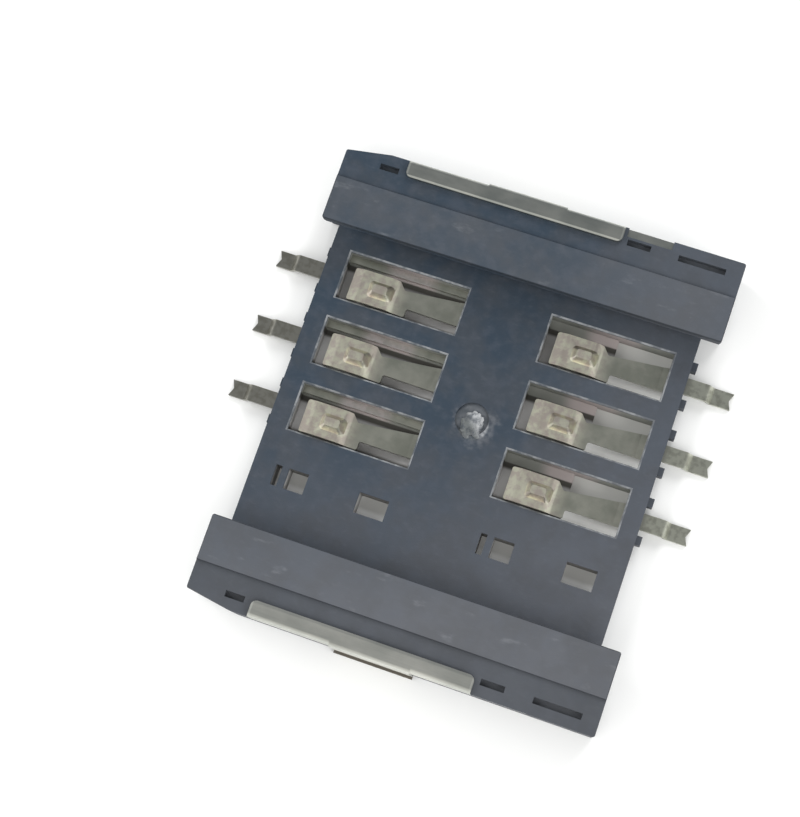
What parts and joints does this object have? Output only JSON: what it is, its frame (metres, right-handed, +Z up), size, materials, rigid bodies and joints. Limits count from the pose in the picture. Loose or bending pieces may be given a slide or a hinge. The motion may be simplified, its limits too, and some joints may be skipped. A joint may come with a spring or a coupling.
{
  "type": "sim card connector",
  "caption": "Low open-topped surface-mount slide-in connector for a mini-size SIM card, with sprung contacts in its floor, lipped side rails, gull-wing tails and plated hold-down clips.",
  "frame": {"origin": "centre of the housing's underside, where it meets the circuit board", "axes": "+X the way the card travels in, +Y towards the row of the first contacts, +Z up from the board"},
  "size_m": [0.0172, 0.0174, 0.0022],
  "materials": {
    "housing_plastic": "moulded glass-filled plastic, navy black with a faint sheen",
    "contact_plating": "satin plated spring metal, warm grey",
    "clip_plating": "satin plated sheet, pale grey with brighter edges"
  },
  "bodies": {
    "root": {"housing": "housing_plastic", "contact_c1": "contact_plating", "contact_c2": "contact_plating", "contact_c3": "contact_plating", "contact_c5": "contact_plating", "contact_c6": "contact_plating", "contact_c7": "contact_plating", "hold_down_back": "clip_plating", "hold_down_front": "clip_plating"}
  },
  "joints": []
}
